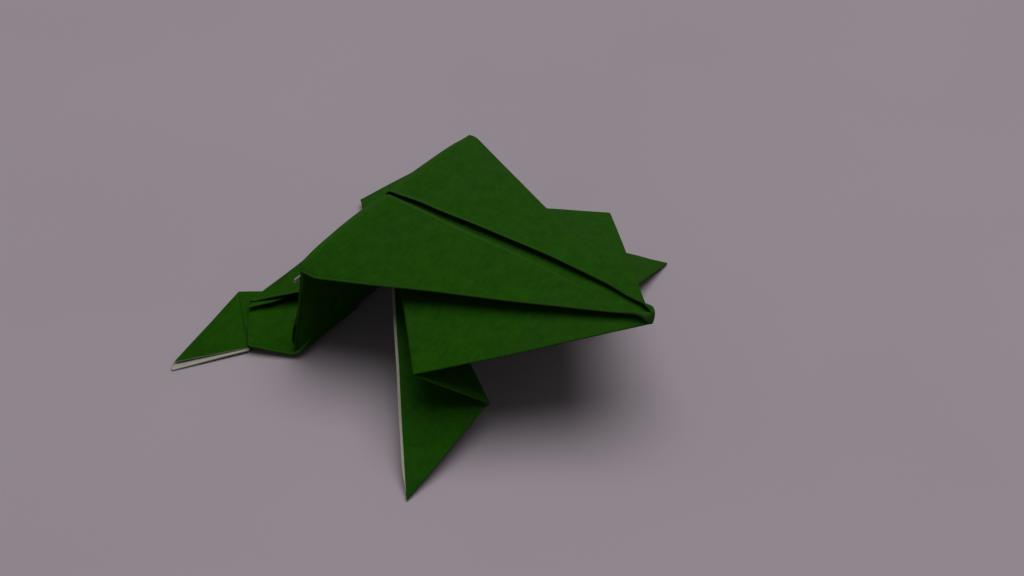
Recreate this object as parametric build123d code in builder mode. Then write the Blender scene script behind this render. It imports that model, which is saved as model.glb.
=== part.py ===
from math import cos, radians, sin, sqrt, tan
import os

from build123d import *

os.makedirs("parts", exist_ok=True)

# An origami frog folded from one square sheet of paper, in millimetres.
# The square is first folded in half, coloured side out, so each ply is two layers of paper.
# The doubled strip, twice as long as it is wide, gets a collapsed triangle at each end.
# One end makes the back and the front legs, the other the pleated spring and the hind legs.
# +X points to the nose, +Z up. The origin is on the floor under the middle of the frog.

# The sheet of paper
sheet_side = 150.0
sheet_thickness = 0.1
ply = 2 * sheet_thickness
layer = 2 * ply
half_width = sheet_side / 4

# Corners of the collapsed triangle, as shares of half the strip's width.
# The fold lines leave the nose at whole parts of a right angle, which sets these shares.
knee_share = 1 / 2
ankle_share = 1 - sqrt(1 / 2)
toe_share = sqrt(1 / 2)
hip_share = tan(radians(90 / 4))

# How far each fold is opened, in degrees
back_pitch = 2.2
roof_slope = 1.8
near_flap_opening = 1.6
far_flap_opening = 4.0
thigh_drop = 16.0
shank_opening = 50.0
foot_opening = 41.5
wall_lean = 8.5

# The hind shanks and feet are folded a little askew, toes forward, in degrees
hind_leg_turn = 5.0

# Loose paper: the clear space that stays between layers pressed on each other, and at raw edges
layer_gap = 0.1
foot_gape = 0.4
flap_clearance = 0.2
hind_foot_gape = 0.9

# Radii of the rounded folds
leg_fold_radius = 0.28
hind_leg_fold_radius = 0.47
hind_foot_fold_radius = 0.24
back_fold_radius = 0.5
centre_fold_radius = 0.45
hump_fold_radius = 0.6
valley_fold_radius = 0.9
tail_fold_radius = 0.85
side_fold_radius = 0.6

# The blunt nose, where the folds of both sides bunch up
nose_radius = 0.8
nose_height = 1.4
nose_set_back = 0.6

# The side folds of the wall start this share of the way down from the hump
side_fold_start_share = 0.1

# The tail is turned forward over the spring, at this share of the hind half of the strip
tail_share = 0.66
# The turned tail reaches this far towards the pleat, as a share of the flat part of the spring
tail_reach_share = 0.9

hip = half_width * hip_share
level_step = layer + layer_gap


def panel(corners, thickness, lift=0):
    """One flat panel of folded paper between its corners, lifted along its own normal."""
    across = corners[1] - corners[0]
    normal = across.cross(corners[2] - corners[0])
    if normal.Z < 0:
        normal = -normal
    face_plane = Plane(origin=corners[0], x_dir=across, z_dir=normal).offset(lift)
    outline = [face_plane.to_local_coords(corner) for corner in corners]
    with BuildPart() as sheet_panel:
        with BuildSketch(face_plane):
            with BuildLine():
                Polyline(*[(point.X, point.Y) for point in outline], close=True)
            make_face()
        extrude(amount=thickness / 2, both=True)
    return sheet_panel.part


def fold(start, end, radius):
    """The rounded paper along a fold line. It stops one radius short of each corner."""
    along = end - start
    with BuildPart(Plane(origin=(start + end) / 2, z_dir=along)) as rounded_fold:
        Cylinder(radius, along.length - 2 * radius)
    return rounded_fold.part


def fold_across(end, radius):
    """A rounded fold that crosses from one side of the frog to the other."""
    return fold(Vector(end.X, -end.Y, end.Z), end, radius)


def swung(point, start, end, angle):
    """A point turned about the fold line from start to end."""
    return (point - start).rotate(Axis((0, 0, 0), end - start), angle) + start


# The hump, where the back turns down into the spring, is the working origin.
hump = Vector(0, 0, 0)
pitch = radians(back_pitch)
back_plane = Plane(origin=hump, x_dir=(cos(pitch), 0, sin(pitch)), z_dir=(-sin(pitch), 0, cos(pitch)))


def back_point(from_nose, aside, below=0):
    """A point on the flat back, by its distance from the nose and from the centre fold."""
    return back_plane.from_local_coords(Vector(half_width - from_nose, aside, -below))


nose = back_point(0, 0)
hip_corner = swung(back_point(half_width, hip), nose, hump, roof_slope)

# Front leg: a flap folded to the nose, then folded out again, each fold partly open.
# It hangs from the centre fold, one layer below the back.
leg_nose = back_point(0, 0, layer)
leg_root = back_point(half_width, 0, layer)
knee = back_point(half_width * knee_share, half_width * knee_share, layer)
ankle = back_point(half_width * ankle_share, half_width * ankle_share, layer)
toe = back_point(half_width * ankle_share, half_width * toe_share, layer)
knee, ankle, toe = [swung(point, leg_nose, leg_root, thigh_drop) for point in (knee, ankle, toe)]
ankle, toe = [swung(point, leg_root, knee, shank_opening) for point in (ankle, toe)]
toe = swung(toe, ankle, leg_root, foot_opening)

# The floor meets the front toes.
floor = toe.Z - ply


def above_floor(x, aside, height):
    """A point at a height above the floor."""
    return Vector(x, aside, floor + height)


# Heights of the middle of each layer in the flat part of the spring, from the floor up
foot_level = ply / 2
shank_level = 2 * ply + layer_gap + layer / 2
thigh_level = shank_level + level_step
back_level = thigh_level + level_step
tail_level = back_level + layer + layer_gap

# The spring: a wall falls from the hump to the valley fold, then the strip lies flat to the tail.
wall_height = -floor - back_level
valley_x = -wall_height * tan(radians(wall_lean))
wall_length = wall_height / cos(radians(wall_lean))


def spring_point(from_nose, aside, level):
    """A point of the flat part, by its distance from the nose along the strip."""
    return above_floor(valley_x - (from_nose - half_width - wall_length), aside, level)


strip = 2 * half_width
valley = half_width + wall_length
tail = half_width * (1 + tail_share)
tail_reach = tail - (tail - valley) * tail_reach_share
hind_knee = strip - half_width * knee_share
hind_ankle = strip - half_width * ankle_share
ankle_slope = ankle_share / (1 - ankle_share)


def thigh_width(from_nose):
    """Half the width of the hind thighs: they widen from the hump to the knee, then narrow."""
    return min(from_nose - half_width, strip - from_nose)


def turned_leg(from_nose, aside):
    """A corner of the hind shank and foot, turned about the middle of the foot on its own level."""
    middle_along = (hind_knee + 2 * hind_ankle) / 3
    middle_aside = half_width * (knee_share + ankle_share + toe_share) / 3
    along, out = from_nose - middle_along, aside - middle_aside
    turn = radians(hind_leg_turn)
    return (
        middle_along + along * cos(turn) - out * sin(turn),
        middle_aside + along * sin(turn) + out * cos(turn),
    )


# Front leg of one side: thigh, shank, and a foot of two plies that gape at their raw edge
foot_normal = (toe - ankle).cross(leg_root - ankle).normalized()
gape_step = foot_normal * (foot_gape + ply) / 2
front_leg = [
    panel([leg_nose, knee, leg_root], layer),
    panel([knee, leg_root, ankle], layer),
    panel([ankle, toe, leg_root + gape_step], ply),
    panel([ankle, toe, leg_root - gape_step], ply),
    fold(leg_nose, knee, leg_fold_radius),
    fold(knee, leg_root, leg_fold_radius),
    fold(ankle, leg_root, leg_fold_radius),
    fold(ankle, toe, leg_fold_radius),
]

# The back of one side, and its folded edge, which wraps the back and the flap on it
wrap_rise = back_plane.z_dir * (layer + layer_gap) / 2
back_half = [
    panel([nose, hip_corner, hump], layer),
    fold(nose + wrap_rise, hip_corner + wrap_rise, back_fold_radius),
]

# The wall of the spring, one side: the narrowing back, and the thigh layers in front of it
wall_hip = hip_share * (strip - valley)
valley_centre = spring_point(valley, 0, back_level)
valley_hip = spring_point(valley, wall_hip, back_level)
valley_thigh = spring_point(valley, thigh_width(valley), back_level)
side_fold_top = hip_corner + (valley_thigh - hip_corner) * side_fold_start_share
wall = [
    panel([hump, hip_corner, valley_hip, valley_centre], 2 * layer),
    panel([hump, valley_thigh, valley_centre], 2 * layer, -layer),
    panel([side_fold_top, valley_thigh, (hump + valley_centre) / 2], layer, -layer / 2),
    fold(side_fold_top, valley_thigh, side_fold_radius),
]

# The flat part of the spring, one side, from the valley fold to the tail fold.
# Corners are distances from the nose along the strip, and from its centre line.
ankle_aside = half_width * ankle_share
thigh_corners = [
    (valley, 0),
    (valley, thigh_width(valley)),
    (hind_knee, thigh_width(hind_knee)),
    (tail, thigh_width(tail)),
    (tail, 0),
]
back_corners = [(valley, 0), (valley, wall_hip), (tail, hip_share * (strip - tail)), (tail, 0)]
turned_tail_corners = [
    (tail, 0),
    (tail, thigh_width(tail)),
    (tail_reach, thigh_width(tail) - (tail - tail_reach)),
    (tail_reach, 0),
]
turned_knee = turned_leg(hind_knee, thigh_width(hind_knee))
turned_ankle = turned_leg(hind_ankle, ankle_aside)
turned_toe = turned_leg(hind_ankle, half_width * toe_share)
shank_corners = [
    (valley, ankle_slope * wall_length),
    (valley, thigh_width(valley)),
    turned_knee,
    turned_ankle,
]
foot_corners = [
    (valley, ankle_slope * wall_length),
    turned_ankle,
    turned_toe,
    (valley, thigh_width(valley)),
]


def spring_layer(corners, level, thickness):
    """A layer of the flat part of the spring."""
    return panel([spring_point(from_nose, aside, level) for from_nose, aside in corners], thickness)


def spring_fold(corners, level, radius):
    """A rounded fold of the flat part of the spring, between two of its corners."""
    ends = [spring_point(from_nose, aside, level) for from_nose, aside in corners]
    return fold(ends[0], ends[1], radius)


upper_foot_level = foot_level + ply
raised_toe_level = upper_foot_level + hind_foot_gape
upper_foot = [
    spring_point(*turned_ankle, upper_foot_level),
    spring_point(*turned_toe, raised_toe_level),
    spring_point(*turned_knee, upper_foot_level),
]
spring = [
    spring_layer(foot_corners, foot_level, ply),
    panel(upper_foot, ply),
    fold(upper_foot[0], upper_foot[1], hind_foot_fold_radius),
    spring_layer(shank_corners, shank_level, layer),
    spring_layer(thigh_corners, thigh_level, layer),
    spring_layer(back_corners, back_level, layer),
    spring_layer(turned_tail_corners, tail_level, layer),
    spring_fold(shank_corners[1:3], (shank_level + thigh_level) / 2, hind_leg_fold_radius),
    spring_fold((shank_corners[0], shank_corners[3]), (foot_level + shank_level) / 2, hind_leg_fold_radius),
]


def flap(opening):
    """One kite flap: it turns over at the folded edge and its free edge lies near the centre line."""
    rise = back_plane.z_dir * (layer + layer_gap)
    free_corners = [
        swung(back_point(from_nose, flap_clearance) + rise, nose + rise, hip_corner + rise, opening)
        for from_nose in (half_width, 2 * nose_radius)
    ]
    folded_corners = [back_point(2 * nose_radius, 2 * nose_radius * hip_share) + rise, hip_corner + rise]
    return panel(folded_corners + free_corners, layer)


# Folds of the middle: the centre crease of the back and of the wall, the folds that cross from
# side to side at the hump, the valley and the tail, and the blunt nose
tail_end = spring_point(tail, thigh_width(tail), (thigh_level + tail_level) / 2)
with BuildPart(Plane(origin=back_point(nose_set_back, 0, layer), z_dir=back_plane.z_dir)) as bunched_nose:
    Cylinder(nose_radius, nose_height, align=(Align.CENTER, Align.CENTER, Align.MIN))
middle_folds = [
    bunched_nose.part,
    fold((nose + leg_nose) / 2, (hump + leg_root) / 2, centre_fold_radius),
    fold(hump, valley_centre, centre_fold_radius),
    fold_across(hip_corner, hump_fold_radius),
    fold_across(valley_thigh, valley_fold_radius),
    fold_across(tail_end, tail_fold_radius),
]

far_side = front_leg + back_half + wall + spring

with BuildPart() as folded_sheet:
    add(far_side)
    mirror(about=Plane.XZ)
    add(middle_folds)
    add(flap(far_flap_opening))
    add(mirror(flap(near_flap_opening), about=Plane.XZ))

box = folded_sheet.part.bounding_box()
folded_sheet.part.move(Location((-box.center().X, 0, -box.min.Z)))
folded_sheet.part.label = "folded_sheet"
export_step(folded_sheet.part, "parts/folded_sheet.step")
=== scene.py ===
from math import cos, exp, pi, radians, sin, sqrt, tan

import bpy
from bpy.props import FloatProperty, FloatVectorProperty, PointerProperty
from mathutils import Matrix, Vector, noise


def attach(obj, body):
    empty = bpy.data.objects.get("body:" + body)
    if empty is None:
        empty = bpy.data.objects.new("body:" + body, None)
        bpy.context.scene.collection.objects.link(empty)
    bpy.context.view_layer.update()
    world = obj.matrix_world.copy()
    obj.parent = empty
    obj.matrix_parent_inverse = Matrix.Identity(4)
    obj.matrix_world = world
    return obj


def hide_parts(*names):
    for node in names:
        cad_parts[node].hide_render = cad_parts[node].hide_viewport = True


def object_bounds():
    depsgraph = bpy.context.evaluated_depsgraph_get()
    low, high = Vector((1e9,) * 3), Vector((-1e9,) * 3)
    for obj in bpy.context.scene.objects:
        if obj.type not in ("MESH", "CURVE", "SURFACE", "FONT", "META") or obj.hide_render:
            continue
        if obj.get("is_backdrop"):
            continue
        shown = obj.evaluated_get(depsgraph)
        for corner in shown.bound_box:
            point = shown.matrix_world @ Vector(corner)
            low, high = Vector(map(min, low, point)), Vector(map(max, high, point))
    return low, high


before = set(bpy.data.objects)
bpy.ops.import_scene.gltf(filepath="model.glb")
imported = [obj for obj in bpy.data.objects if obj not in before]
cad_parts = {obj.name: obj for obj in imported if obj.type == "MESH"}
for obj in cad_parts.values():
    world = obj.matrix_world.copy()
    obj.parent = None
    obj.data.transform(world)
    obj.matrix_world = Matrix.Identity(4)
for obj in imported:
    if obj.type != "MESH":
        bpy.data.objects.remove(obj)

bl_info = {
    "name": "Origami frog",
    "version": (1, 0, 0),
    "blender": (4, 5, 0),
    "location": "View3D > Sidebar > Frog",
    "description": "Folds the visible paper of an origami frog around its packed solid",
    "category": "Object",
}

CAD_LOW, CAD_HIGH = (Vector(corner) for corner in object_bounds())
PAPER_NODE = "folded_sheet"
MM = 0.001

# The materials of a paper shell, by their order on its mesh
GREEN_SIDE = 0
WHITE_SIDE = 1

# Corners of the collapsed triangle, as shares of half the strip's width
KNEE_SHARE = 1 / 2
ANKLE_SHARE = 1 - sqrt(1 / 2)
TOE_SHARE = sqrt(1 / 2)
HIP_SHARE = tan(radians(90 / 4))

# The blunt corners of the back at the hump. The near one is a little too wide and cut off.
HIP_ROUNDING = 0.45 * MM
HIP_ROUNDING_REACH = 0.7 * MM
NEAR_HIP_EXCESS = 1.10 * MM
NEAR_HIP_FADE = 2.5 * MM
NEAR_HIP_CUT_START = 0.8 * MM
NEAR_HIP_CUT_SLOPE = 1.0
NEAR_HIP_END = 15.2 * MM


def length(title, description, default):
    """A size that a user can change, in metres."""
    return FloatProperty(
        name=title, description=description, default=default, min=0.0, unit="LENGTH", precision=5
    )


def angle(title, description, degrees):
    """A fold's opening that a user can change."""
    return FloatProperty(name=title, description=description, default=radians(degrees), subtype="ANGLE")


def share(title, description, default):
    """A share of another size."""
    return FloatProperty(name=title, description=description, default=default, min=0.0)


def colour(title, description, default):
    """A linear colour."""
    return FloatVectorProperty(
        name=title, description=description, default=default, subtype="COLOR", min=0, max=1
    )


class PaperSizes(bpy.types.PropertyGroup):
    """The sheet of paper and how far each fold is opened."""

    sheet_side: length("Sheet side", "Side of the square before it is doubled", 150 * MM)
    sheet: length("Sheet thickness", "Thickness of the paper itself", 0.1 * MM)
    back_pitch: angle("Back pitch", "Rise of the back from the hump to the nose", 2.2)
    roof_slope: angle("Far roof slope", "Fall of the back from its centre fold to its far side", 0.2)
    near_slope: angle("Near roof slope", "Fall of the back from its centre fold to its near side", 3.1)
    thigh_drop: angle("Thigh drop", "How far a front thigh hangs below the back", 16)
    shank_opening: angle("Shank opening", "Opening between a front thigh and its shank", 50)
    foot_opening: angle("Foot opening", "Opening between a front shank and its foot", 41.5)
    wall_lean: angle("Wall lean", "Lean of the spring's wall", 8.5)
    spring_tilt: angle("Spring tilt", "Rise of the flat part of the spring towards the tail", 3.5)
    pressed_ply: length("Pressed ply", "Thickness of two sheets where they are pressed", 0.14 * MM)
    pressed_step: length("Pressed step", "Height from layer to layer in the flat part", 0.30 * MM)
    hump_radius: length("Hump radius", "Radius of the fold between back and wall", 0.5 * MM)
    valley_radius: length("Valley radius", "Radius of the fold between wall and spring", 1.0 * MM)
    tail_share: share("Tail", "Place of the tail fold, as a share of the hind half of the strip", 0.668)
    nose_reach: length("Nose reach", "How far the blunt nose stands past the last fold", 0.19 * MM)


class PaperLook(bpy.types.PropertyGroup):
    """Colours of the paper and of the stage."""

    green: colour("Green", "Coloured side of the paper", (0.0096, 0.0530, 0.0006))
    deep_green: colour("Deep green", "Darker fibres of the coloured side", (0.0034, 0.0300, 0.0002))
    # The worn green is both the wear on the folds and the painted sheen laid on towards the far side
    worn_and_sheen_green: colour("Worn green", "Rubbed folds of the coloured side", (0.0420, 0.0900, 0.0230))
    white: colour("White", "Inner side and cut edges of the paper", (0.2900, 0.2850, 0.2250))
    floor: colour("Floor", "Plain pale floor", (0.2750, 0.2380, 0.2660))


def sizes():
    """The sizes in use."""
    return bpy.context.scene.frog_sizes


def look():
    """The colours in use."""
    return bpy.context.scene.frog_look


def smooth(low, high, value):
    """A soft step from 0 at low to 1 at high."""
    t = min(max((value - low) / (high - low), 0.0), 1.0)
    return t * t * (3 - 2 * t)


def spread(start, end, count):
    """Evenly spaced numbers from start to end."""
    return [start + (end - start) * i / (count - 1) for i in range(count)]


def spread_through(start, stops):
    """Numbers from start through each (stop, count), with that count from one stop to the next."""
    numbers = [start]
    for stop, count in stops:
        numbers += spread(numbers[-1], stop, count)[1:]
    return numbers


def along(stops, value):
    """A smooth curve through (place, height) stops."""
    for (low, first), (high, second) in zip(stops, stops[1:]):
        if value <= high:
            return first + (second - first) * smooth(low, high, value)
    return stops[-1][1]


def straight_along(stops, value):
    """A straight line from (place, height) stop to stop."""
    for (low, first), (high, second) in zip(stops, stops[1:]):
        if value <= high:
            return first + (second - first) * max(value - low, 0.0) / (high - low)
    return stops[-1][1]


def swung(point, start, end, turn):
    """A point turned about the line from start to end."""
    return start + Matrix.Rotation(turn, 3, end - start) @ (point - start)


class Folding:
    """Where every crease of the frog lies, worked out from the sheet and the openings of its folds."""

    def __init__(self):
        size = sizes()
        self.half = size.sheet_side / 4
        self.ply = 2 * size.sheet
        self.layer = 2 * self.ply
        self.pitch = size.back_pitch
        self.along_back = Vector((cos(self.pitch), 0, sin(self.pitch)))
        self.up_back = Vector((-sin(self.pitch), 0, cos(self.pitch)))
        self.front_leg()
        self.spring()
        self.hump = Vector((CAD_HIGH.x - self.half * cos(self.pitch) - size.nose_reach, 0, -self.floor))

    def back_point(self, from_nose, aside, below=0.0):
        """A point of the flat back, with the hump as the origin."""
        return self.along_back * (self.half - from_nose) + Vector((0, aside, 0)) - self.up_back * below

    def front_leg(self):
        """Corners of the far front leg, and the floor that its toe meets."""
        size, half, below = sizes(), self.half, self.layer
        nose, root = self.back_point(0, 0, below), self.back_point(half, 0, below)
        knee = self.back_point(half * KNEE_SHARE, half * KNEE_SHARE, below)
        ankle = self.back_point(half * ANKLE_SHARE, half * ANKLE_SHARE, below)
        toe = self.back_point(half * ANKLE_SHARE, half * TOE_SHARE, below)
        knee, ankle, toe = (swung(point, nose, root, size.thigh_drop) for point in (knee, ankle, toe))
        ankle, toe = (swung(point, root, knee, size.shank_opening) for point in (ankle, toe))
        toe = swung(toe, ankle, root, size.foot_opening)
        self.leg_corners = [nose, knee, ankle, toe]
        self.leg_root = root
        self.floor = toe.z - self.ply

    def spring(self):
        """Places of the spring's wall, valley and tail."""
        size = sizes()
        back_level = 3 * size.pressed_step + size.pressed_ply
        wall_height = -self.floor - back_level
        self.valley_x = -wall_height * tan(size.wall_lean)
        self.valley = self.half + wall_height / cos(size.wall_lean)
        self.tail = self.half * (1 + size.tail_share)

    def spine(self, from_nose, above=0.0):
        """A point of the strip's spine in X and Z: back, hump, wall, valley, flat part."""
        size = sizes()
        folds = [
            (self.half, pi / 2 - size.wall_lean - self.pitch, size.hump_radius, 1),
            (self.valley, pi / 2 - size.wall_lean + size.spring_tilt, size.valley_radius, -1),
        ]
        place = self.back_point(0, 0)
        heading = pi + self.pitch
        reached = 0.0
        for corner, turn, radius, side in folds:
            trim = radius * tan(turn / 2)
            start, end = corner - trim, corner + trim
            straight = min(from_nose, start) - reached
            place = place + Vector((cos(heading), 0, sin(heading))) * straight
            if from_nose <= start:
                return self.lifted(place, heading, above)
            turned = turn * min((from_nose - start) / (end - start), 1.0)
            across = Vector((-sin(heading), 0, cos(heading))) * side
            forward = Vector((cos(heading), 0, sin(heading)))
            place = place + forward * radius * sin(turned) + across * radius * (1 - cos(turned))
            heading += side * turned
            if from_nose <= end:
                return self.lifted(place, heading, above)
            reached = end
        place = place + Vector((cos(heading), 0, sin(heading))) * (from_nose - reached)
        return self.lifted(place, heading, above)

    def lifted(self, place, heading, above):
        """A place on the spine moved out to the side that the flaps lie on."""
        return place + Vector((sin(heading), 0, -cos(heading))) * above

    def strip_point(self, from_nose, aside, above):
        """A point by its place on the flat strip, bent along the spine."""
        return self.spine(from_nose, above) + Vector((0, aside, 0))

    def spring_place(self, behind, aside, above):
        """A point of the flat part, by its distance behind the hump and its layer's height."""
        from_nose = self.valley + (self.valley_x + behind) / cos(sizes().spring_tilt)
        return self.strip_point(from_nose, aside, above)

    def far_width(self, from_nose):
        """The far half of the kite that the back and the spring share."""
        rounding = HIP_ROUNDING * exp(-(((from_nose - self.half) / HIP_ROUNDING_REACH) ** 2))
        return HIP_SHARE * min(from_nose, 2 * self.half - from_nose) - rounding

    def near_width(self, from_nose):
        """The near half of the kite."""
        past = from_nose - self.half
        excess = NEAR_HIP_EXCESS * min(from_nose / self.half, 1.0) * (1 - smooth(0, NEAR_HIP_FADE, past))
        width = HIP_SHARE * min(from_nose, 2 * self.half - from_nose) + excess
        widest = HIP_SHARE * (self.half - NEAR_HIP_CUT_START) + NEAR_HIP_EXCESS
        return min(width, max(widest - (past + NEAR_HIP_CUT_START) * NEAR_HIP_CUT_SLOPE, NEAR_HIP_END))


class Sheet:
    """A grid of points on the middle of the paper, with a wear value at each."""

    def __init__(self):
        self.rows = []
        self.wear = []

    def row(self, points, wear=None):
        """One more row of the grid, unworn unless its wear is given."""
        self.rows.append([Vector(point) for point in points])
        self.wear.append(list(wear) if wear else [0.0] * len(self.rows[-1]))

    def normals(self):
        """Unit normals of the grid."""
        rows, found = self.rows, []
        for i, row in enumerate(rows):
            before, after = rows[max(i - 1, 0)], rows[min(i + 1, len(rows) - 1)]
            line = []
            for j in range(len(row)):
                down = after[j] - before[j]
                across = row[min(j + 1, len(row) - 1)] - row[max(j - 1, 0)]
                line.append(down.cross(across).normalized())
            found.append(line)
        return found

    def mirrored(self):
        """The same sheet on the other side of the frog."""
        other = Sheet()
        for row, wear in zip(self.rows, self.wear):
            other.row([Vector((p.x, -p.y, p.z)) for p in reversed(row)], list(reversed(wear)))
        return other


# The crumple's broad and fine swells: how long they are, how far they move the paper, where they are read
BROAD_LENGTH = 11 * MM
BROAD_MOVE = 0.10 * MM
BROAD_START = Vector((3.1, 7.7, 1.3))
FINE_LENGTH = 3.5 * MM
FINE_MOVE = 0.025 * MM
FINE_START = Vector((9.2, 0.4, 5.8))


def uneven(place, start):
    """Smooth noise along each axis, read at three places of one field, so that every run gives the same."""
    return Vector([noise.noise(place + start * (axis + 1)) for axis in range(3)])


def crumple(point):
    """The slight unevenness of hand-folded paper. It is one field, so layers keep their distance."""
    broad = uneven(point / BROAD_LENGTH, BROAD_START) * BROAD_MOVE
    fine = uneven(point / FINE_LENGTH, FINE_START) * FINE_MOVE
    return point + broad + fine


def placed(point, hump):
    """A point with its crumple, in the frame, inside the solid's box."""
    moved = crumple(point) + hump
    return Vector([min(max(value, low), high) for value, low, high in zip(moved, CAD_LOW, CAD_HIGH)])


def shell(name, sheets, hump, thickness):
    """One mesh of paper shells. Each sheet comes with the names of its white faces and ends."""
    vertices, faces, finish, wear, sharp = [], [], [], [], set()

    def face(corners, is_white):
        faces.append(corners)
        finish.append(WHITE_SIDE if is_white else GREEN_SIDE)

    def add_grid(sheet, white):
        rows, normals = sheet.rows, sheet.normals()
        count, width = len(rows), len(rows[0])
        base = len(vertices)
        for side in (0.5, -0.5):
            for row, line, worn in zip(rows, normals, sheet.wear):
                for point, normal, value in zip(row, line, worn):
                    vertices.append(placed(point + normal * thickness * side, hump))
                    wear.append(value)
        under = base + count * width
        for i in range(count - 1):
            for j in range(width - 1):
                a = i * width + j
                quad = (a, a + width, a + width + 1, a + 1)
                face([base + k for k in quad], "upper" in white)
                face([under + k for k in reversed(quad)], "under" in white)
        loops = {
            "first": list(range(width)),
            "last": [(count - 1) * width + j for j in reversed(range(width))],
            "left": [i * width for i in reversed(range(count))],
            "right": [i * width + width - 1 for i in range(count)],
        }
        for end, loop in loops.items():
            for a, b in zip(loop, loop[1:]):
                face([base + a, base + b, under + b, under + a], end in white)
                sharp.add(frozenset((base + a, base + b)))
                sharp.add(frozenset((under + a, under + b)))

    for sheet, white in sheets:
        add_grid(sheet, white)
    mesh = bpy.data.meshes.new(name)
    mesh.from_pydata(vertices, [], faces)
    mesh.materials.append(bpy.data.materials["green_paper"])
    mesh.materials.append(bpy.data.materials["white_paper"])
    mesh.polygons.foreach_set("material_index", finish)
    mesh.polygons.foreach_set("use_smooth", [True] * len(faces))
    for edge in mesh.edges:
        edge.use_edge_sharp = frozenset(edge.vertices) in sharp
    attribute = mesh.attributes.new("fold_wear", "FLOAT", "POINT")
    attribute.data.foreach_set("value", wear)
    mesh.validate()
    mesh.update()
    piece = bpy.data.objects.new(name, mesh)
    bpy.context.scene.collection.objects.link(piece)
    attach(piece, "root")
    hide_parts(PAPER_NODE)
    return piece


class Nodes:
    """A material's nodes, with one method that adds any of them."""

    def __init__(self, name):
        material = bpy.data.materials.new(name)
        material.use_nodes = True
        self.tree = material.node_tree
        self.tree.nodes.clear()

    def add(self, kind, settings=None, **sockets):
        """A node by its type. Its settings come first, then the values or links of its sockets.

        A socket goes by its name, with _ for a space, or by i and its number.
        """
        node = self.tree.nodes.new("ShaderNode" + kind)
        for key, value in (settings or {}).items():
            setattr(node, key, value)
        for key, value in sockets.items():
            place = int(key[1:]) if key[1:].isdigit() and key[0] == "i" else key.replace("_", " ")
            socket = node.inputs[place]
            if isinstance(value, Channel):
                self.tree.links.new(value.socket, socket)
            else:
                socket.default_value = value
        return node

    def out(self, node, output=0):
        """An output of a node as a channel."""
        return Channel(self, node.outputs[output])

    def mix(self, factor, first, second):
        """One colour over another."""
        settings = {"data_type": "RGBA"}
        node = self.add("Mix", settings, i0=factor, i6=first, i7=second)
        return self.out(node, 2)

    def vary(self, place, size, detail, distortion=0.0):
        """Noise with swells of a real size, about zero."""
        node = self.add(
            "TexNoise", None, Vector=place, Scale=1 / size, Detail=detail, Distortion=distortion
        )
        return self.out(node, 0) - 0.5


class Channel:
    """An output socket with Python's operators, so that shader maths reads as it is meant."""

    def __init__(self, nodes, socket):
        self.nodes, self.socket = nodes, socket

    def maths(self, operation, *values):
        """A Math node on values and channels."""
        settings = {"operation": operation}
        sockets = {f"i{index}": value for index, value in enumerate(values)}
        return self.nodes.out(self.nodes.add("Math", settings, **sockets))

    def __add__(self, other):
        return self.maths("ADD", self, other)

    def __sub__(self, other):
        return self.maths("SUBTRACT", self, other)

    def __rsub__(self, other):
        return self.maths("SUBTRACT", other, self)

    def __mul__(self, other):
        return self.maths("MULTIPLY", self, other)

    __radd__ = __add__
    __rmul__ = __mul__

    def limited(self):
        """The channel kept between 0 and 1."""
        return self.maths("MINIMUM", self.maths("MAXIMUM", self, 0.0), 1.0)


def rgba(tone):
    """A colour with full alpha."""
    return (*tone, 1.0)


def scaled(tone, factor):
    """A colour made lighter or darker."""
    return tuple(value * factor for value in tone)


# The unevenness of the paper: the size and the detail of its clouds, its pulp and its fibres
CLOUDS = {"size": 9 * MM, "detail": 3.0}
PULP = {"size": 1.6 * MM, "detail": 4.0}
FIBRES = {"size": 0.35 * MM, "detail": 2.0, "distortion": 0.6}
FIBRE_STRETCH = (1.0, 0.35, 1.0)
FIBRE_TURN = (0.0, 0.0, radians(38))

# The share of the deep colour, and how much clouds, pulp and fibres add to it
MEAN_DEPTH = 0.42
CLOUD_DEPTH = 1.1
PULP_DEPTH = 1.0
FIBRE_DEPTH = 1.1

# The worn colour: as painted sheen, its share on the frog's middle, doubled at the far side; clouds that
# vary it; as wear, its strength on the folds
FAR_SHEEN_SHARE = 0.10
CLOUD_FADE = 0.25
FOLD_RUB = 0.8
PULP_RUB = 1.2
FIBRE_RUB = 0.8

# The paper's tooth and gloss
FIBRE_RELIEF = 0.6
PULP_RELIEF = 0.4
TOOTH_HEIGHT = 0.03 * MM
TOOTH_STRENGTH = 0.35
FIBRE_ROUGHNESS = 0.10
RUBBED_POLISH = 0.06
PAPER_IOR = 1.45
PAPER_GLOSS = 0.015
GREEN_ROUGHNESS = 0.68
WHITE_ROUGHNESS = 0.85
WHITE_DEPTH = 0.8

# The floor's faint clouding and gloss
FLOOR_CLOUDS = {"size": 60 * MM, "detail": 3.0}
FLOOR_PALER = 1.06
FLOOR_DARKER = 0.94
FLOOR_ROUGHNESS = 0.9
FLOOR_GLOSS = 0.1


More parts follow.
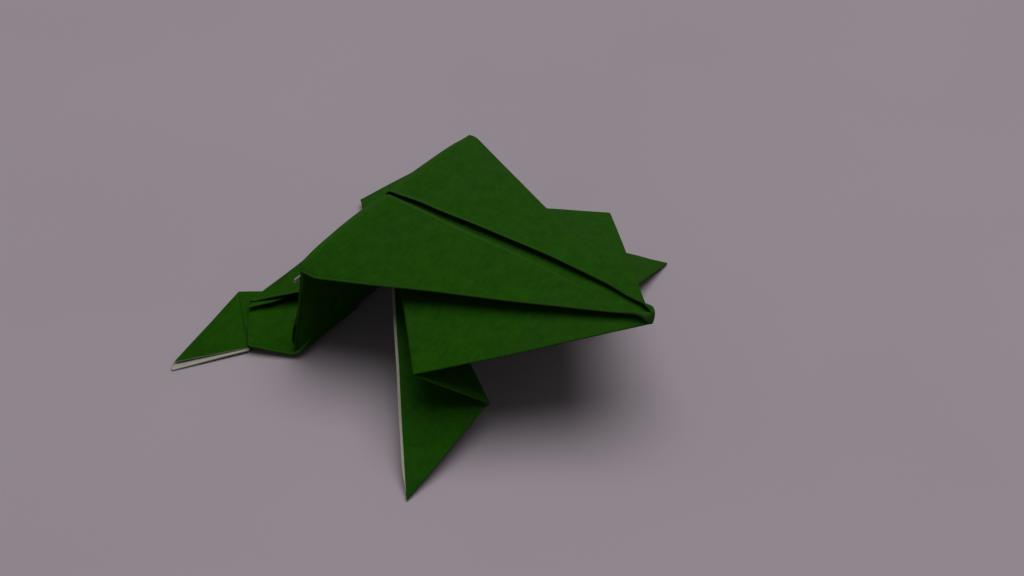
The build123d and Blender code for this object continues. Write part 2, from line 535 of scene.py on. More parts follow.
def paper_finish(name, body, deep, worn, roughness):
    """Matt paper: mottled pulp, fine fibres, rubbed folds, a painted sheen towards the far side and a slight
    tooth.
    """
    nodes = Nodes(name)
    place = nodes.out(nodes.add("TexCoord"), "Object")
    cloud = nodes.vary(place, **CLOUDS)
    pulp = nodes.vary(place, **PULP)
    stretched = nodes.add("Mapping", None, Vector=place, Scale=FIBRE_STRETCH, Rotation=FIBRE_TURN)
    fibre = nodes.vary(nodes.out(stretched), **FIBRES)
    wear = nodes.out(nodes.add("Attribute", {"attribute_name": "fold_wear"}), "Fac")
    shade = (MEAN_DEPTH + cloud * CLOUD_DEPTH + pulp * PULP_DEPTH + fibre * FIBRE_DEPTH).limited()
    tone = nodes.mix(shade, rgba(body), rgba(deep))
    across = nodes.out(nodes.add("SeparateXYZ", None, Vector=place), "Y")
    # Painted sheen: more of the worn colour towards the far side, none at the near side, with clouds varying
    # it at random
    sheen_and_clouding = (across * (FAR_SHEEN_SHARE / CAD_HIGH.y) + FAR_SHEEN_SHARE + cloud * CLOUD_FADE).limited()
    tone = nodes.mix(sheen_and_clouding, tone, rgba(worn))
    rubbed = (wear * (FOLD_RUB + pulp * PULP_RUB + fibre * FIBRE_RUB)).limited()
    tone = nodes.mix(rubbed, tone, rgba(worn))
    relief = fibre * FIBRE_RELIEF + pulp * PULP_RELIEF
    bump = nodes.add("Bump", None, Strength=TOOTH_STRENGTH, Distance=TOOTH_HEIGHT, Height=relief)
    shader = nodes.add(
        "BsdfPrincipled",
        None,
        Base_Color=tone,
        Roughness=(roughness + fibre * FIBRE_ROUGHNESS - wear * RUBBED_POLISH),
        Normal=nodes.out(bump),
        IOR=PAPER_IOR,
        Specular_IOR_Level=PAPER_GLOSS,
    )
    nodes.add("OutputMaterial", None, Surface=nodes.out(shader))


def stage_finish(name, tone):
    """A plain pale floor with faint clouding."""
    nodes = Nodes(name)
    place = nodes.out(nodes.add("TexCoord"), "Object")
    cloud = nodes.vary(place, **FLOOR_CLOUDS)
    darker, paler = rgba(scaled(tone, FLOOR_DARKER)), rgba(scaled(tone, FLOOR_PALER))
    shader = nodes.add(
        "BsdfPrincipled",
        None,
        Base_Color=nodes.mix((cloud + 0.5).limited(), darker, paler),
        Roughness=FLOOR_ROUGHNESS,
        Specular_IOR_Level=FLOOR_GLOSS,
    )
    nodes.add("OutputMaterial", None, Surface=nodes.out(shader))


class FROG_OT_finishes(bpy.types.Operator):
    """Make the two sides of the paper and the floor's finish"""

    bl_idname = "frog.finishes"
    bl_label = "Finishes"

    def execute(self, context):
        tones = look()
        paper_finish("green_paper", tones.green, tones.deep_green, tones.worn_and_sheen_green, GREEN_ROUGHNESS)
        paper_finish(
            "white_paper", tones.white, scaled(tones.white, WHITE_DEPTH), tones.white, WHITE_ROUGHNESS
        )
        stage_finish("pale_floor", tones.floor)
        return {"FINISHED"}


# How far the flaps' free edges stand up and apart, in millimetres by place between nose and hump
FAR_FLAP_LIFT = [
    (0.0, 0.12), (0.04, 0.42), (0.16, 0.55), (0.40, 0.70), (0.65, 0.72), (0.85, 0.55), (1.0, 0.34),
]
NEAR_FLAP_LIFT = [(0.0, 0.0), (0.2, 0.05), (1.0, 0.05)]
FAR_FLAP_ASIDE = [
    (0.0, 0.10), (0.06, 0.60), (0.20, 1.05), (0.36, 1.00), (0.60, 0.70), (0.85, 0.40), (1.0, 0.16),
]
NEAR_FLAP_ASIDE = [(0.0, 0.10), (0.05, 0.60), (0.13, 1.10), (0.26, 0.50), (0.42, 0.20), (1.0, 0.10)]
EDGE_CLEARANCE = 0.06 * MM
WIDEST_CLEARANCE = 0.75
EDGE_CURL = 0.35
LIFT_FADE = 6 * MM

# The flaps rest a little above the back, bellied between fold and free edge, and swell before the hump
FLAP_GAP = 0.04 * MM
BELLY_STEPS = 0.5
BELLY_FADE = 0.6
BELLY_REACH = 3.2 * MM
NEAR_SWELL = 0.5 * MM
FAR_SWELL = 0.15 * MM
SWELL_WIDTH = 19 * MM
SWELL_POWER = 0.55
SWELL_REACH = 11 * MM

# The blunt nose: its round end, its least half widths, and how far it stands above and below the back
NOSE_ROUND = 0.7 * MM
NOSE_FAR_WIDTH = 1.10 * MM
NOSE_NEAR_WIDTH = 0.70 * MM
NOSE_END_WIDTH = 0.02 * MM
NOSE_REACH_SHARE = 0.5
NOSE_DEPTH = 0.95 * MM
NOSE_DEPTH_REACH = 0.8 * MM
NOSE_RISE = 0.38 * MM
NOSE_RISE_FULL = 0.2 * MM
NOSE_RISE_REACH = 4.5 * MM

# The rounding of the kite's side folds, and where the near slope levels out before the hump
SIDE_FOLD_SHARE = 0.8
LEVEL_START = 2.5 * MM
LEVEL_END = 0.1 * MM

# Points across a section of the back
FLAP_POINTS = 24
SIDE_FOLD_POINTS = 11
UNDERSIDE_POINTS = 31

# Wear of the side folds, the cut edges and the hump
SIDE_FOLD_WEAR = 0.45
CUT_EDGE_WEAR = 0.3
CREST_WEAR = 0.4
CREST_REACH = 0.6 * MM


def hairpin(centre_aside, level, half_width, half_height, start):
    """Points of a rounded fold in the section's plane, as (aside, above), half a turn from start."""
    turns = spread(start, start + pi, SIDE_FOLD_POINTS)[1:-1]
    return [(centre_aside + half_width * cos(turn), level + half_height * sin(turn)) for turn in turns]


def back_section(folding, from_nose):
    """The section of back and flaps, from the near free edge round to the far one."""
    size = sizes()
    half, ply = folding.half, size.pressed_ply
    to_end = (NOSE_ROUND - from_nose) / (NOSE_ROUND + size.nose_reach * NOSE_REACH_SHARE)
    roundness = sqrt(max(1 - max(to_end, 0.0) ** 2, 0.0))
    far_width = max(folding.far_width(from_nose), NOSE_FAR_WIDTH) * roundness + NOSE_END_WIDTH
    near_width = max(folding.near_width(from_nose), NOSE_NEAR_WIDTH) * roundness + NOSE_END_WIDTH
    share_of_back = min(from_nose / half, 1.0)
    past_hump = smooth(half, half + LIFT_FADE, from_nose)
    on_back = 1 - past_hump
    at_nose = 1 - smooth(NOSE_RISE_FULL, NOSE_RISE_REACH, from_nose)
    at_tip = 1 - smooth(0.0, NOSE_DEPTH_REACH, from_nose)
    low = -ply / 2 - NOSE_DEPTH * at_tip
    high = ply / 2 + FLAP_GAP + NOSE_RISE * at_nose
    belly = size.pressed_step * BELLY_STEPS * (1 - past_hump * BELLY_FADE)
    middle, height = (high + low) / 2, (high - low) / 2
    far_fold, near_fold = min(height, far_width * SIDE_FOLD_SHARE), min(height, near_width * SIDE_FOLD_SHARE)
    far_centre, near_centre = far_width - far_fold, near_width - near_fold
    far_slope = tan(size.roof_slope) * on_back
    near_slope = tan(size.near_slope) * (1 - smooth(half - LEVEL_START, half - LEVEL_END, from_nose))
    at_hump = smooth(half - SWELL_REACH, half, from_nose) * on_back

    def flap(lifts, asides, side, centre, swell):
        lift = along(lifts, share_of_back) * MM * on_back
        clear = along(asides, share_of_back) * MM * on_back + EDGE_CLEARANCE
        clear = min(clear, centre * WIDEST_CLEARANCE)
        line = []
        for t in spread(0, 1, FLAP_POINTS):
            aside = clear + (centre - clear) * t
            swollen = sin(pi * min((aside / SWELL_WIDTH) ** SWELL_POWER, 1.0)) * swell * at_hump
            bellied = belly * smooth(0, BELLY_REACH, centre - aside)
            curled = lift * (1 - t) * (1 + EDGE_CURL * t)
            line.append((side * aside, high + bellied + curled + swollen))
        return line

    near = flap(NEAR_FLAP_LIFT, NEAR_FLAP_ASIDE, -1, near_centre, NEAR_SWELL)
    near_side = hairpin(-near_centre, middle, near_fold, height, pi / 2)
    underside = [(aside, low) for aside in spread(-near_centre, far_centre, UNDERSIDE_POINTS)]
    far_side = hairpin(far_centre, middle, far_fold, height, -pi / 2)
    far = list(reversed(flap(FAR_FLAP_LIFT, FAR_FLAP_ASIDE, 1, far_centre, FAR_SWELL)))
    points, wear = [], []
    for part, worn in (
        (near, 0),
        (near_side, SIDE_FOLD_WEAR),
        (underside, 0),
        (far_side, SIDE_FOLD_WEAR),
        (far, 0),
    ):
        for index, (aside, above) in enumerate(part):
            fall = near_slope * -aside if aside < 0 else far_slope * aside
            points.append((aside, above - fall))
            wear.append(worn * sin(pi * (index + 1) / (len(part) + 1)))
    wear[0] = wear[-1] = CUT_EDGE_WEAR
    return points, wear


# Where the back's sections change their spacing, and how many lie in each stretch
NOSE_STRETCH = 1.3 * MM
TAIL_MARGIN = 0.6 * MM
NOSE_SECTIONS = 14
BACK_SECTIONS = 80
LEVEL_SECTIONS = 10
CREASE_SECTIONS = 14
WALL_SECTIONS = 24
FLAT_SECTIONS = 16


class FROG_OT_back(bpy.types.Operator):
    """Fold the back with its two flaps, the hump, the wall and the flat part of the spring"""

    bl_idname = "frog.back"
    bl_label = "Back and spring"

    def execute(self, context):
        folding = Folding()
        size = sizes()
        half, valley = folding.half, folding.valley
        stretches = [
            (NOSE_STRETCH, NOSE_SECTIONS),
            (half - LEVEL_START, BACK_SECTIONS),
            (half - size.hump_radius, LEVEL_SECTIONS),
            (half + size.hump_radius, CREASE_SECTIONS),
            (valley - size.valley_radius, WALL_SECTIONS),
            (valley + size.valley_radius, CREASE_SECTIONS),
            (folding.tail - TAIL_MARGIN, FLAT_SECTIONS),
        ]
        sheet = Sheet()
        for from_nose in spread_through(-size.nose_reach * NOSE_REACH_SHARE, stretches):
            section, wear = back_section(folding, from_nose)
            crest = 1 - min(abs(from_nose - half) / CREST_REACH, 1.0)
            row = [folding.strip_point(from_nose, aside, above) for aside, above in section]
            sheet.row(row, [max(value, CREST_WEAR * crest) for value in wear])
        shell("back", [(sheet, ())], folding.hump, size.pressed_ply)
        return {"FINISHED"}


# How far corners of the front legs lie off their true places, by hand folding, in millimetres:
# the nose of both, and the nose, knee, ankle and toe of the near one
NOSE_SHIFT = Vector((0.15, 0.0, -0.50))
NEAR_LEG_SHIFTS = [
    Vector((0.0, 0.0, 0.0)),
    Vector((-0.45, 0.10, 0.20)),
    Vector((-0.65, 0.45, 0.0)),
    Vector((0.35, -0.45, 0.10)),
]
UNSHIFTED = [Vector()] * 4

# The front legs' folds: their radius at root and tip, and their wear
LEG_FOLD_RADIUS = 0.14 * MM
ANKLE_TIP_RADIUS = 0.55 * MM
KNEE_WEAR = 0.05
ANKLE_WEAR = 0.3
LEG_EDGE_WEAR = 0.12

# Rows of points in each fold and in thigh, shank and foot
CREASE_ROWS = 9
THIGH_ROWS = 34
SHANK_ROWS = 16
FOOT_ROWS = 24

# The two plies of a front leg: half the gap between them, how far the lower one reaches past the upper at
# the open end, where their points start, and where along them their direction is taken
LEG_HALF_GAP = 0.07 * MM
LEG_OVERHANG = 0.45 * MM
OVERHANG_START = 0.82
OVERHANG_TAPER = 0.88
PLY_START = 0.04
PLY_POINTS = 26
EDGE_POINTS = 9
ROOT_SHARE = 0.3


def crease(root, tip, before, after, tip_radius, wear):
    """A rounded crease: pairs of root and tip points turned from one panel into the next."""
    axis = (tip - root).normalized()
    into_before = (before - root) - axis * (before - root).dot(axis)
    into_after = (after - root) - axis * (after - root).dot(axis)
    into_before.normalize()
    into_after.normalize()
    half_opening = into_before.angle(into_after) / 2
    middle = (into_before + into_after).normalized()
    aside = axis.cross(middle)
    if aside.dot(into_after) < 0:
        aside = -aside
    stations = []
    for turn in spread(half_opening - pi / 2, pi / 2 - half_opening, CREASE_ROWS):
        offset = middle * (1 - cos(turn)) + aside * sin(turn)
        worn = wear * (1 - abs(turn) / (pi / 2))
        stations.append((root + offset * LEG_FOLD_RADIUS, tip + offset * tip_radius, worn))
    return stations


def bridged(start, end, count):
    """Stations between two stations."""
    found = []
    for t in spread(0, 1, count)[1:-1]:
        found.append((start[0].lerp(end[0], t), start[1].lerp(end[1], t), 0.0))
    return found


def envelope(stations):
    """Two plies joined by a rounded fold along the tips. The lower one is longer at the last station."""
    normals, steps = [], []
    last = len(stations) - 1
    for index, (root, tip, _) in enumerate(stations):
        before, after = stations[max(index - 1, 0)], stations[min(index + 1, last)]
        across = after[1].lerp(after[0], ROOT_SHARE) - before[1].lerp(before[0], ROOT_SHARE)
        steps.append(across.normalized())
        normals.append((tip - root).cross(across).normalized())
    upper_is_last = normals[last].z > 0
    sheet = Sheet()
    for index, ((root, tip, worn), normal, step) in enumerate(zip(stations, normals, steps)):
        out = (tip - root).normalized()
        end = (tip - root).length - LEG_HALF_GAP
        gap = normal * LEG_HALF_GAP
        reach = step * LEG_OVERHANG * smooth(OVERHANG_START, 1.0, index / last)
        first_reach, last_reach = (reach, reach * 0) if upper_is_last else (reach * 0, reach)
        first, second = [], []
        for t in spread(PLY_START, 1, PLY_POINTS):
            taper = 1 - smooth(OVERHANG_TAPER, 1, t)
            first.append(root + out * end * t - gap + first_reach * taper)
            second.append(root + out * end * t + gap + last_reach * taper)
        edge, edge_wear = [], []
        for turn in spread(-pi / 2, pi / 2, EDGE_POINTS)[1:-1]:
            edge.append(root + out * (end + LEG_HALF_GAP * cos(turn)) + gap * sin(turn))
            edge_wear.append(max(worn, LEG_EDGE_WEAR * cos(turn)))
        ply_wear = [worn] * PLY_POINTS
        sheet.row(first + edge + list(reversed(second)), ply_wear + edge_wear + ply_wear)
    return sheet


def front_leg_sheet(folding, shifts):
    """A front leg on the far side: thigh, shank and foot, one envelope of two plies folded twice."""
    nose, knee, ankle, toe = (corner + shift * MM for corner, shift in zip(folding.leg_corners, shifts))
    nose = nose + NOSE_SHIFT * MM
    root = folding.leg_root
    knee_fold = crease(root, knee, nose, ankle, LEG_FOLD_RADIUS, KNEE_WEAR)
    ankle_fold = crease(root, ankle, knee, toe, ANKLE_TIP_RADIUS, ANKLE_WEAR)
    start, end = (root, nose, 0.0), (root, toe, 0.0)
    stations = [start] + bridged(start, knee_fold[0], THIGH_ROWS) + knee_fold
    stations += bridged(knee_fold[-1], ankle_fold[0], SHANK_ROWS) + ankle_fold
    stations += bridged(ankle_fold[-1], end, FOOT_ROWS) + [end]
    return envelope(stations)


class FROG_OT_front_legs(bpy.types.Operator):
    """Fold the two front legs"""

    bl_idname = "frog.front_legs"
    bl_label = "Front legs"

    def execute(self, context):
        folding = Folding()
        ply = sizes().pressed_ply
        far = front_leg_sheet(folding, UNSHIFTED)
        near = front_leg_sheet(folding, NEAR_LEG_SHIFTS).mirrored()
        shell("front_leg_far", [(far, ())], folding.hump, ply)
        shell("front_leg_near", [(near, ("last", "under"))], folding.hump, ply)
        return {"FINISHED"}


# Corners of the hind leg, in millimetres behind the hump and aside of the centre line
VALLEY_CORNER = (2.25, 15.0)
HIND_KNEE = (7.40, 17.75)
HIND_ANKLE = (14.85, 11.45)
HIND_TOE = (12.45, 25.60)
HIND_ROOT = (5.0, 2.5)

# The hind thigh: where it starts behind the hump, how its knee rises, and the hem turned under
HIND_THIGH_START = 2.5 * MM
HIND_KNEE_RISE = 0.40 * MM
HIND_KNEE_REACH = 6 * MM
HIND_KNEE_START = 0.6
HEM_WIDTH = 2.5 * MM
HIND_FOLD_WEAR = 0.5
HIND_WALL_ROWS = 14
HIND_VALLEY_ROWS = 12
HIND_FLAT_ROWS = 30
HIND_THIGH_POINTS = 40
HIND_FOLD_POINTS = 9
HEM_POINTS = 8

# The hind shank's level in pressed steps, and how far it stays inside the valley's corner, in millimetres
SHANK_LEVEL = -2
SHANK_INSET = 0.9
HIND_SHANK_GRID = (16, 24)

# The hind foot: its level in pressed steps, the gap between its plies, and how the upper one falls short
FOOT_LEVEL = -3
FOOT_GAP_PLIES = 1.15
FOOT_GROUND_PLIES = 0.6
UPPER_KNEE_SHIFT = (0.15, -0.25)
UPPER_TOE_RISE = 0.55
UPPER_TOE_INSET = 1.1
FOOT_FOLD_HEADING = Vector((-1, 0.18, 0))
FOOT_FOLD_DEPTH = 0.6
HIND_FOOT_GRID = (20, 40)


def patch(first_left, first_right, last_left, last_right, grid):
    """Rows of points between two lines."""
    rows, columns = grid
    found = []
    for r in spread(0, 1, rows):
        left, right = first_left.lerp(last_left, r), first_right.lerp(last_right, r)
        found.append([left.lerp(right, t) for t in spread(0, 1, columns)])
    return found


def hind_thigh_sheet(folding):
    """The far hind thigh: from the wall over the valley to the tail, turned under at its outer edge."""
    size = sizes()
    half, valley, step = folding.half, folding.valley, size.pressed_step
    knee = valley + folding.valley_x + HIND_KNEE[0] * MM
    outline = [
        (half, 0.0),
        (valley, VALLEY_CORNER[1] * MM),
        (knee, HIND_KNEE[1] * MM),
        (folding.tail, 2 * half - folding.tail),
    ]
    stretches = [
        (valley - size.valley_radius, HIND_WALL_ROWS),
        (valley + size.valley_radius, HIND_VALLEY_ROWS),
        (folding.tail, HIND_FLAT_ROWS),
    ]
    sheet = Sheet()
    for from_nose in spread_through(half + HIND_THIGH_START, stretches):
        outer = straight_along(outline, from_nose)
        rise = HIND_KNEE_RISE * max(1 - abs(from_nose - knee) / HIND_KNEE_REACH, 0.0)
        points, wear = [], []
        for t in spread(0, 1, HIND_THIGH_POINTS):
            points.append((outer * t, -step + rise * smooth(HIND_KNEE_START, 1, t)))
            wear.append(0.0)
        for turn in spread(pi / 2, -pi / 2, HIND_FOLD_POINTS)[1:]:
            points.append((outer + step / 2 * cos(turn), rise - step * 3 / 2 + step / 2 * sin(turn)))
            wear.append(HIND_FOLD_WEAR * cos(turn))
        for t in spread(0, 1, HEM_POINTS)[1:]:
            points.append((outer - HEM_WIDTH * t, -2 * step + rise * (1 - t)))
            wear.append(0.0)
        sheet.row([folding.strip_point(from_nose, aside, above) for aside, above in points], wear)
    return sheet


def hind_shank_sheet(folding):
    """The far hind shank, hidden under the thigh up to its ankle."""
    level = SHANK_LEVEL * sizes().pressed_step

    def at(corner):
        return folding.spring_place(corner[0] * MM, corner[1] * MM, level)

    outer = at((VALLEY_CORNER[0] + SHANK_INSET, VALLEY_CORNER[1] - SHANK_INSET))
    sheet = Sheet()
    for points in patch(at(HIND_ANKLE), at(HIND_KNEE), at(HIND_ROOT), outer, HIND_SHANK_GRID):
        sheet.row(points)
    return sheet


def hind_foot_sheet(folding):
    """The far hind foot: a lower ply, the rounded fold from ankle to toe, and a shorter upper ply."""
    size = sizes()
    low_level = FOOT_LEVEL * size.pressed_step
    high_level = low_level + size.pressed_ply * FOOT_GAP_PLIES
    ground = folding.floor + size.pressed_ply * FOOT_GROUND_PLIES
    upper_knee = (HIND_KNEE[0] + UPPER_KNEE_SHIFT[0], HIND_KNEE[1] + UPPER_KNEE_SHIFT[1])
    to_ankle = Vector((HIND_TOE[0] - HIND_ANKLE[0], HIND_ANKLE[1] - HIND_TOE[1], 0)).normalized()

    def at(corner, level):
        return folding.spring_place(corner[0] * MM, corner[1] * MM, level)

    def toe(rise, inset):
        return Vector((-HIND_TOE[0] * MM, HIND_TOE[1] * MM, ground + rise * MM)) + to_ankle * inset * MM

    lower = patch(
        at(HIND_ROOT, low_level),
        at(HIND_KNEE, low_level),
        at(HIND_ANKLE, low_level),
        toe(0.0, 0.0),
        HIND_FOOT_GRID,
    )
    upper = patch(
        at(HIND_ANKLE, high_level),
        toe(UPPER_TOE_RISE, UPPER_TOE_INSET),
        at(HIND_ROOT, high_level),
        at(upper_knee, high_level),
        HIND_FOOT_GRID,
    )
    sheet = Sheet()
    for points in lower:
        sheet.row(points)
    rearward = FOOT_FOLD_HEADING.normalized()
    for turn in spread(-pi / 2, pi / 2, HIND_FOLD_POINTS)[1:-1]:
        points = []
        for low, high in zip(lower[-1], upper[0]):
            middle, height = low.lerp(high, 0.5), (high - low) / 2
            depth = height.length * cos(turn) * FOOT_FOLD_DEPTH
            points.append(middle + height * sin(turn) + rearward * depth)
        sheet.row(points, [HIND_FOLD_WEAR * cos(turn)] * len(points))
    for points in upper:
        sheet.row(points)
    return sheet


class FROG_OT_hind_legs(bpy.types.Operator):
    """Fold the two hind legs"""

    bl_idname = "frog.hind_legs"
    bl_label = "Hind legs"

    def execute(self, context):
        folding = Folding()
        ply = sizes().pressed_ply
        thigh, shank, foot = hind_thigh_sheet(folding), hind_shank_sheet(folding), hind_foot_sheet(folding)
        shell("hind_leg_far", [(thigh, ()), (shank, ())], folding.hump, ply)
        shell("hind_leg_near", [(thigh.mirrored(), ()), (shank.mirrored(), ())], folding.hump, ply)
        shell("hind_foot_far", [(foot, ())], folding.hump, ply)
        shell("hind_foot_near", [(foot.mirrored(), ("left", "under"))], folding.hump, ply)
        return {"FINISHED"}


# Half widths and rises of the turned tail's two leaves, in millimetres by distance from the tail fold
LOWER_LEAF_WIDTHS = [
    (0.0, 12.4), (0.55, 13.7), (0.85, 13.2), (1.35, 12.5), (2.3, 11.2), (2.9, 9.7), (3.3, 6.5), (8.8, 1.0),
]
LOWER_LEAF_RISES = [(0.0, 0.0), (0.55, 0.36), (2.3, 0.60), (3.6, 0.60), (8.8, 0.20)]
UPPER_LEAF_WIDTHS = [(0.0, 12.4), (0.4, 12.5), (2.3, 10.7), (3.9, 8.9), (8.8, 3.0)]
UPPER_LEAF_RISES = [(0.0, 0.0), (0.5, 0.34), (2.3, 0.96), (3.9, 1.30), (6.0, 1.30), (8.8, 0.90)]

# Each leaf's level under and over the spring, in pressed steps, with its widths and rises
LEAVES = [(-1, 0.85, LOWER_LEAF_WIDTHS, LOWER_LEAF_RISES), (-0.3, 1.60, UPPER_LEAF_WIDTHS, UPPER_LEAF_RISES)]
LEAF_REACH_SHARE = 0.9
LEAF_UNDERLAP = 1.2 * MM
LEAF_FOLD_WEAR = 0.5
LEAF_EDGE_WEAR = 0.3
LEAF_FOLD_ROWS = 15
LEAF_ROWS = 60
LEAF_POINTS = 41


class FROG_OT_tail(bpy.types.Operator):
    """Fold the tail forward over the spring, in two leaves"""

    bl_idname = "frog.tail"
    bl_label = "Turned tail"

    def execute(self, context):
        folding = Folding()
        size = sizes()
        reach = (folding.tail - folding.valley) * LEAF_REACH_SHARE
        across = spread(-1, 1, LEAF_POINTS)
        sheets = []
        for under_steps, over_steps, widths, rises in LEAVES:
            under, over = under_steps * size.pressed_step, over_steps * size.pressed_step
            radius, middle = (over - under) / 2, (over + under) / 2
            path = [(folding.tail - LEAF_UNDERLAP, under, 0.0, 0.0)]
            for turn in spread(-pi / 2, pi / 2, LEAF_FOLD_ROWS):
                from_nose = folding.tail - radius + radius * cos(turn)
                path.append((from_nose, middle + radius * sin(turn), 0.0, cos(turn)))
            for t in spread(0, 1, LEAF_ROWS)[1:]:
                raised = straight_along(rises, reach * t / MM) * MM
                path.append((folding.tail - radius - reach * t, over + raised, reach * t, 0.0))
            sheet = Sheet()
            for from_nose, above, gone, worn in path:
                width = straight_along(widths, gone / MM) * MM
                wear = [LEAF_FOLD_WEAR * worn] * LEAF_POINTS
                wear[0] = wear[-1] = max(wear[0], LEAF_EDGE_WEAR)
                sheet.row([folding.strip_point(from_nose, width * t, above) for t in across], wear)
            sheets.append((sheet, ()))
        shell("tail", sheets, folding.hump, size.pressed_ply)
        return {"FINISHED"}


# The rolled side folds of the wall: where they start and end, and how far aside their edges lie
ROLL_START = 1.3 * MM
ROLL_END = 0.35 * MM
ROLL_TOP_ASIDE = 15.3 * MM
ROLL_BOTTOM_EXCESS = 0.1 * MM
ROLL_INNER_TOP = 14 * MM
ROLL_INNER_FALL = 16 * MM
ROLL_INNER_LEAST = 5 * MM

# How far a roll stands before and behind the wall's middle, in millimetres by place from top to bottom,
# and how much of its half height its front is rounded by
ROLL_FRONT = [(0.0, 0.25), (0.8, 0.65), (1.0, 0.65)]
ROLL_REAR = [(0.0, 0.25), (0.45, 0.25), (0.85, 1.0), (0.94, 1.0), (1.0, 0.75)]
ROLL_ROUNDING = [(0.0, 0.0), (0.08, 0.0), (0.35, 1.2), (1.0, 1.2)]
ROLL_ROUNDING_WIDTH = 2.4 * MM
ROLL_HEM = 2.5 * MM
ROLL_HEM_FALL = 0.10 * MM
ROLL_WEAR = 0.2
ROLL_ROWS = 60
ROLL_FRONT_POINTS = 40
ROLL_EDGE_POINTS = 17
ROLL_HEM_POINTS = 10

# The open pocket pressed into the lower end of a roll
POCKET_DEPTH = 2.8 * MM
POCKET_TOP = 0.69
POCKET_POWER = 0.35
POCKET_START = 0.9

# Corners of the turned-out scrap at the wall's near edge, as distance from the hump, aside and above
WHITE_SCRAP = [(2.25, 14.3, 0.29), (2.35, 16.0, 0.40), (2.9, 14.3, 0.29), (3.0, 15.95, 0.40)]
SCRAP_GRID = (8, 10)


def side_fold_sheet(folding):
    """The far rolled side of the wall, from its flat front round the edge to the hem behind."""
    top, bottom = folding.half + ROLL_START, folding.valley - ROLL_END
    edge_bottom = VALLEY_CORNER[1] * MM + ROLL_BOTTOM_EXCESS
    sheet = Sheet()
    for t in spread(0, 1, ROLL_ROWS):
        from_nose = top + (bottom - top) * t
        edge = ROLL_TOP_ASIDE + (edge_bottom - ROLL_TOP_ASIDE) * t
        front, rear = -along(ROLL_FRONT, t) * MM, along(ROLL_REAR, t) * MM
        into_pocket = min(max((t - POCKET_TOP) / (1 - POCKET_TOP), 0.0), 1.0)
        pocket = POCKET_DEPTH * sin(pi * into_pocket) ** POCKET_POWER
        half_height = (rear - front) / 2
        rounding = half_height * along(ROLL_ROUNDING, t)
        half_height -= rounding / 2
        centre = edge - half_height
        inner = max(ROLL_INNER_LEAST, ROLL_INNER_TOP - ROLL_INNER_FALL * t)
        points, wear = [], []
        for u in spread(0, 1, ROLL_FRONT_POINTS)[:-1]:
            aside = inner + (centre - inner) * u
            into_roll = max(1 - (centre - aside) / ROLL_ROUNDING_WIDTH, 0.0)
            points.append((aside, front + rounding * (1 - sqrt(1 - into_roll * into_roll))))
            wear.append(0.0)
        for turn in spread(-pi / 2, pi / 2, ROLL_EDGE_POINTS):
            over_pocket = pi * (turn + POCKET_START) / (pi / 2 + POCKET_START)
            aside = centre + half_height * cos(turn) - pocket * sqrt(max(sin(over_pocket), 0.0))
            points.append((aside, rear - half_height * (1 - sin(turn))))
            wear.append(ROLL_WEAR * cos(turn))
        for u in spread(0, 1, ROLL_HEM_POINTS)[1:]:
            points.append((centre - ROLL_HEM * u, rear - ROLL_HEM_FALL * u))
            wear.append(0.0)
        sheet.row([folding.strip_point(from_nose, aside, above) for aside, above in points], wear)
    return sheet


def white_scrap_sheet(folding):
    """A scrap of the sheet's white side, turned out at the wall's edge."""
    corners = [
        folding.strip_point(folding.half + from_hump * MM, aside * MM, above * MM)
        for from_hump, aside, above in WHITE_SCRAP
    ]
    sheet = Sheet()
    for points in patch(*corners, SCRAP_GRID):
        sheet.row(points)
    return sheet


class FROG_OT_side_folds(bpy.types.Operator):
    """Roll the near and far edges of the spring's wall"""

    bl_idname = "frog.side_folds"
    bl_label = "Side folds of the wall"

    def execute(self, context):
        folding = Folding()
        ply = sizes().pressed_ply
        roll, scrap = side_fold_sheet(folding), white_scrap_sheet(folding)
        all_white = ("first", "last", "left", "right", "upper", "under")
        shell("side_fold_far", [(roll, ())], folding.hump, ply)
        shell("side_fold_near", [(roll.mirrored(), ()), (scrap.mirrored(), all_white)], folding.hump, ply)
        return {"FINISHED"}


# The camera's place from the hump and its heading, worked out from the corners seen in the photograph
CAMERA_PLACE = Vector((141.9, -160.7, 170.3)) * MM
CAMERA_HEADING = Vector((-0.462, 0.600, -0.653))
CAMERA_LENS = 82.08
CAMERA_SENSOR = 36.0
CAMERA_NEAR = 0.01

# The floor, and one wide lamp overhead with the soft light of the room
FLOOR_HALF = 3.0
LAMP_PLACE = Vector((0.06, 0.07, 0.95))
LAMP_WIDTH = 0.9
LAMP_POWER = 9.1
ROOM_COLOUR = (1.0, 1.0, 1.0, 1.0)
ROOM_LIGHT = 0.18


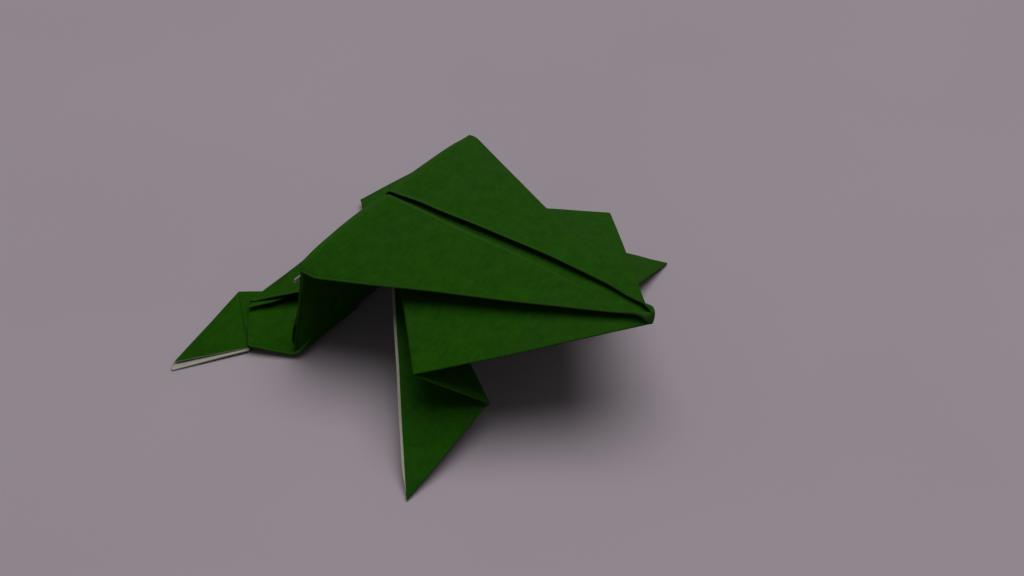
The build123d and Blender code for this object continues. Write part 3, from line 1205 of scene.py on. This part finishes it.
class FROG_OT_stage(bpy.types.Operator):
    """Set the floor, the lights and the camera"""

    bl_idname = "frog.stage"
    bl_label = "Stage"

    def execute(self, context):
        scene = context.scene
        corners = [(-1, -1, 0), (1, -1, 0), (1, 1, 0), (-1, 1, 0)]
        mesh = bpy.data.meshes.new("floor")
        mesh.from_pydata([Vector(corner) * FLOOR_HALF for corner in corners], [], [(0, 1, 2, 3)])
        mesh.materials.append(bpy.data.materials["pale_floor"])
        floor = bpy.data.objects.new("floor", mesh)
        scene.collection.objects.link(floor)
        floor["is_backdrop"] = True

        camera_data = bpy.data.cameras.new("camera")
        camera_data.sensor_width = CAMERA_SENSOR
        camera_data.lens = CAMERA_LENS
        camera_data.clip_start = CAMERA_NEAR
        camera = bpy.data.objects.new("camera", camera_data)
        camera.location = Folding().hump + CAMERA_PLACE
        camera.rotation_euler = CAMERA_HEADING.to_track_quat("-Z", "Y").to_euler()
        scene.collection.objects.link(camera)
        scene.camera = camera

        lamp_data = bpy.data.lights.new("overhead", "AREA")
        lamp_data.shape = "DISK"
        lamp_data.size = LAMP_WIDTH
        lamp_data.energy = LAMP_POWER
        lamp = bpy.data.objects.new("overhead", lamp_data)
        lamp.location = LAMP_PLACE
        lamp.rotation_euler = (-LAMP_PLACE).to_track_quat("-Z", "Y").to_euler()
        scene.collection.objects.link(lamp)

        world = bpy.data.worlds.new("soft_room")
        world.use_nodes = True
        background = world.node_tree.nodes["Background"].inputs
        background["Color"].default_value = ROOM_COLOUR
        background["Strength"].default_value = ROOM_LIGHT
        scene.world = world
        scene.view_settings.view_transform = "Standard"
        return {"FINISHED"}


class FROG_PT_panel(bpy.types.Panel):
    """The frog's sizes, its colours and its pieces in the order they are folded"""

    bl_label = "Origami frog"
    bl_idname = "FROG_PT_panel"
    bl_space_type = "VIEW_3D"
    bl_region_type = "UI"
    bl_category = "Frog"

    def draw(self, context):
        for group in (context.scene.frog_sizes, context.scene.frog_look):
            for name in group.__annotations__:
                self.layout.prop(group, name)
        for operator in OPERATORS:
            self.layout.operator(operator.bl_idname)


OPERATORS = (
    FROG_OT_finishes,
    FROG_OT_back,
    FROG_OT_front_legs,
    FROG_OT_hind_legs,
    FROG_OT_tail,
    FROG_OT_side_folds,
    FROG_OT_stage,
)
CLASSES = (PaperSizes, PaperLook, *OPERATORS, FROG_PT_panel)


def register():
    """Add the sizes, the colours, the operators and the panel."""
    for item in CLASSES:
        bpy.utils.register_class(item)
    bpy.types.Scene.frog_sizes = PointerProperty(type=PaperSizes)
    bpy.types.Scene.frog_look = PointerProperty(type=PaperLook)


def unregister():
    """Take them away again."""
    del bpy.types.Scene.frog_look
    del bpy.types.Scene.frog_sizes
    for item in reversed(CLASSES):
        bpy.utils.unregister_class(item)


def main():
    """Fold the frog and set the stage."""
    register()
    bpy.ops.frog.finishes()
    bpy.ops.frog.back()
    bpy.ops.frog.front_legs()
    bpy.ops.frog.hind_legs()
    bpy.ops.frog.tail()
    bpy.ops.frog.side_folds()
    bpy.ops.frog.stage()


if __name__ == "__main__":
    main()
